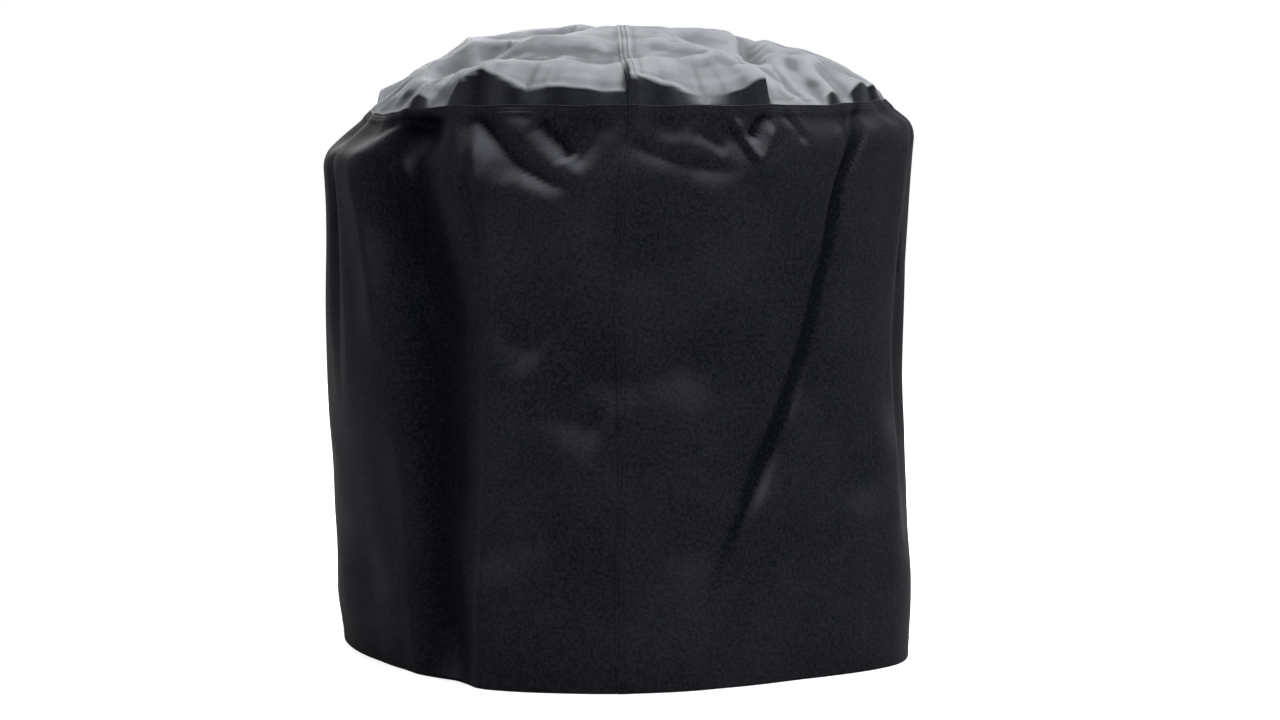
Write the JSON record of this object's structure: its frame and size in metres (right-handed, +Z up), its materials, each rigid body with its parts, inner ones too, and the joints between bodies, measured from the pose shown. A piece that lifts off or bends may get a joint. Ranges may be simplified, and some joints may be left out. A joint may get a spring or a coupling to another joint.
{
  "type": "grill cover",
  "caption": "Round draped cloth cover for a kettle grill, with a domed crown, lapped seams and an elastic hem.",
  "frame": {"origin": "on the ground under the middle of the crown", "axes": "+Z up, the front seam faces -Y, +X to the right seen from the front"},
  "size_m": [0.7107, 0.7108, 0.7404],
  "materials": {
    "coated_cloth": "coated woven polyester, semi-gloss",
    "thread": "twisted polyester",
    "elastic": "braided over rubber",
    "ferrule": "crimped"
  },
  "bodies": {
    "root": {"crown_left_panel": "coated_cloth", "crown_right_panel": "coated_cloth", "skirt_left_panel": "coated_cloth", "skirt_right_panel": "coated_cloth", "back_seam_edge_bobbin_thread": "thread", "back_seam_edge_needle_thread": "thread", "back_seam_inner_bobbin_thread": "thread", "back_seam_inner_needle_thread": "thread", "crown_seam_edge_bobbin_thread": "thread", "crown_seam_edge_needle_thread": "thread", "crown_seam_inner_bobbin_thread": "thread", "crown_seam_inner_needle_thread": "thread", "front_seam_edge_bobbin_thread": "thread", "front_seam_edge_needle_thread": "thread", "front_seam_inner_bobbin_thread": "thread", "front_seam_inner_needle_thread": "thread", "hem_bobbin_thread": "thread", "hem_needle_thread": "thread", "rim_seam_edge_bobbin_thread": "thread", "rim_seam_edge_needle_thread": "thread", "rim_seam_inner_bobbin_thread": "thread", "rim_seam_inner_needle_thread": "thread", "hem_elastic_cord": "elastic", "hem_cord_ferrule": "ferrule"}
  },
  "joints": []
}
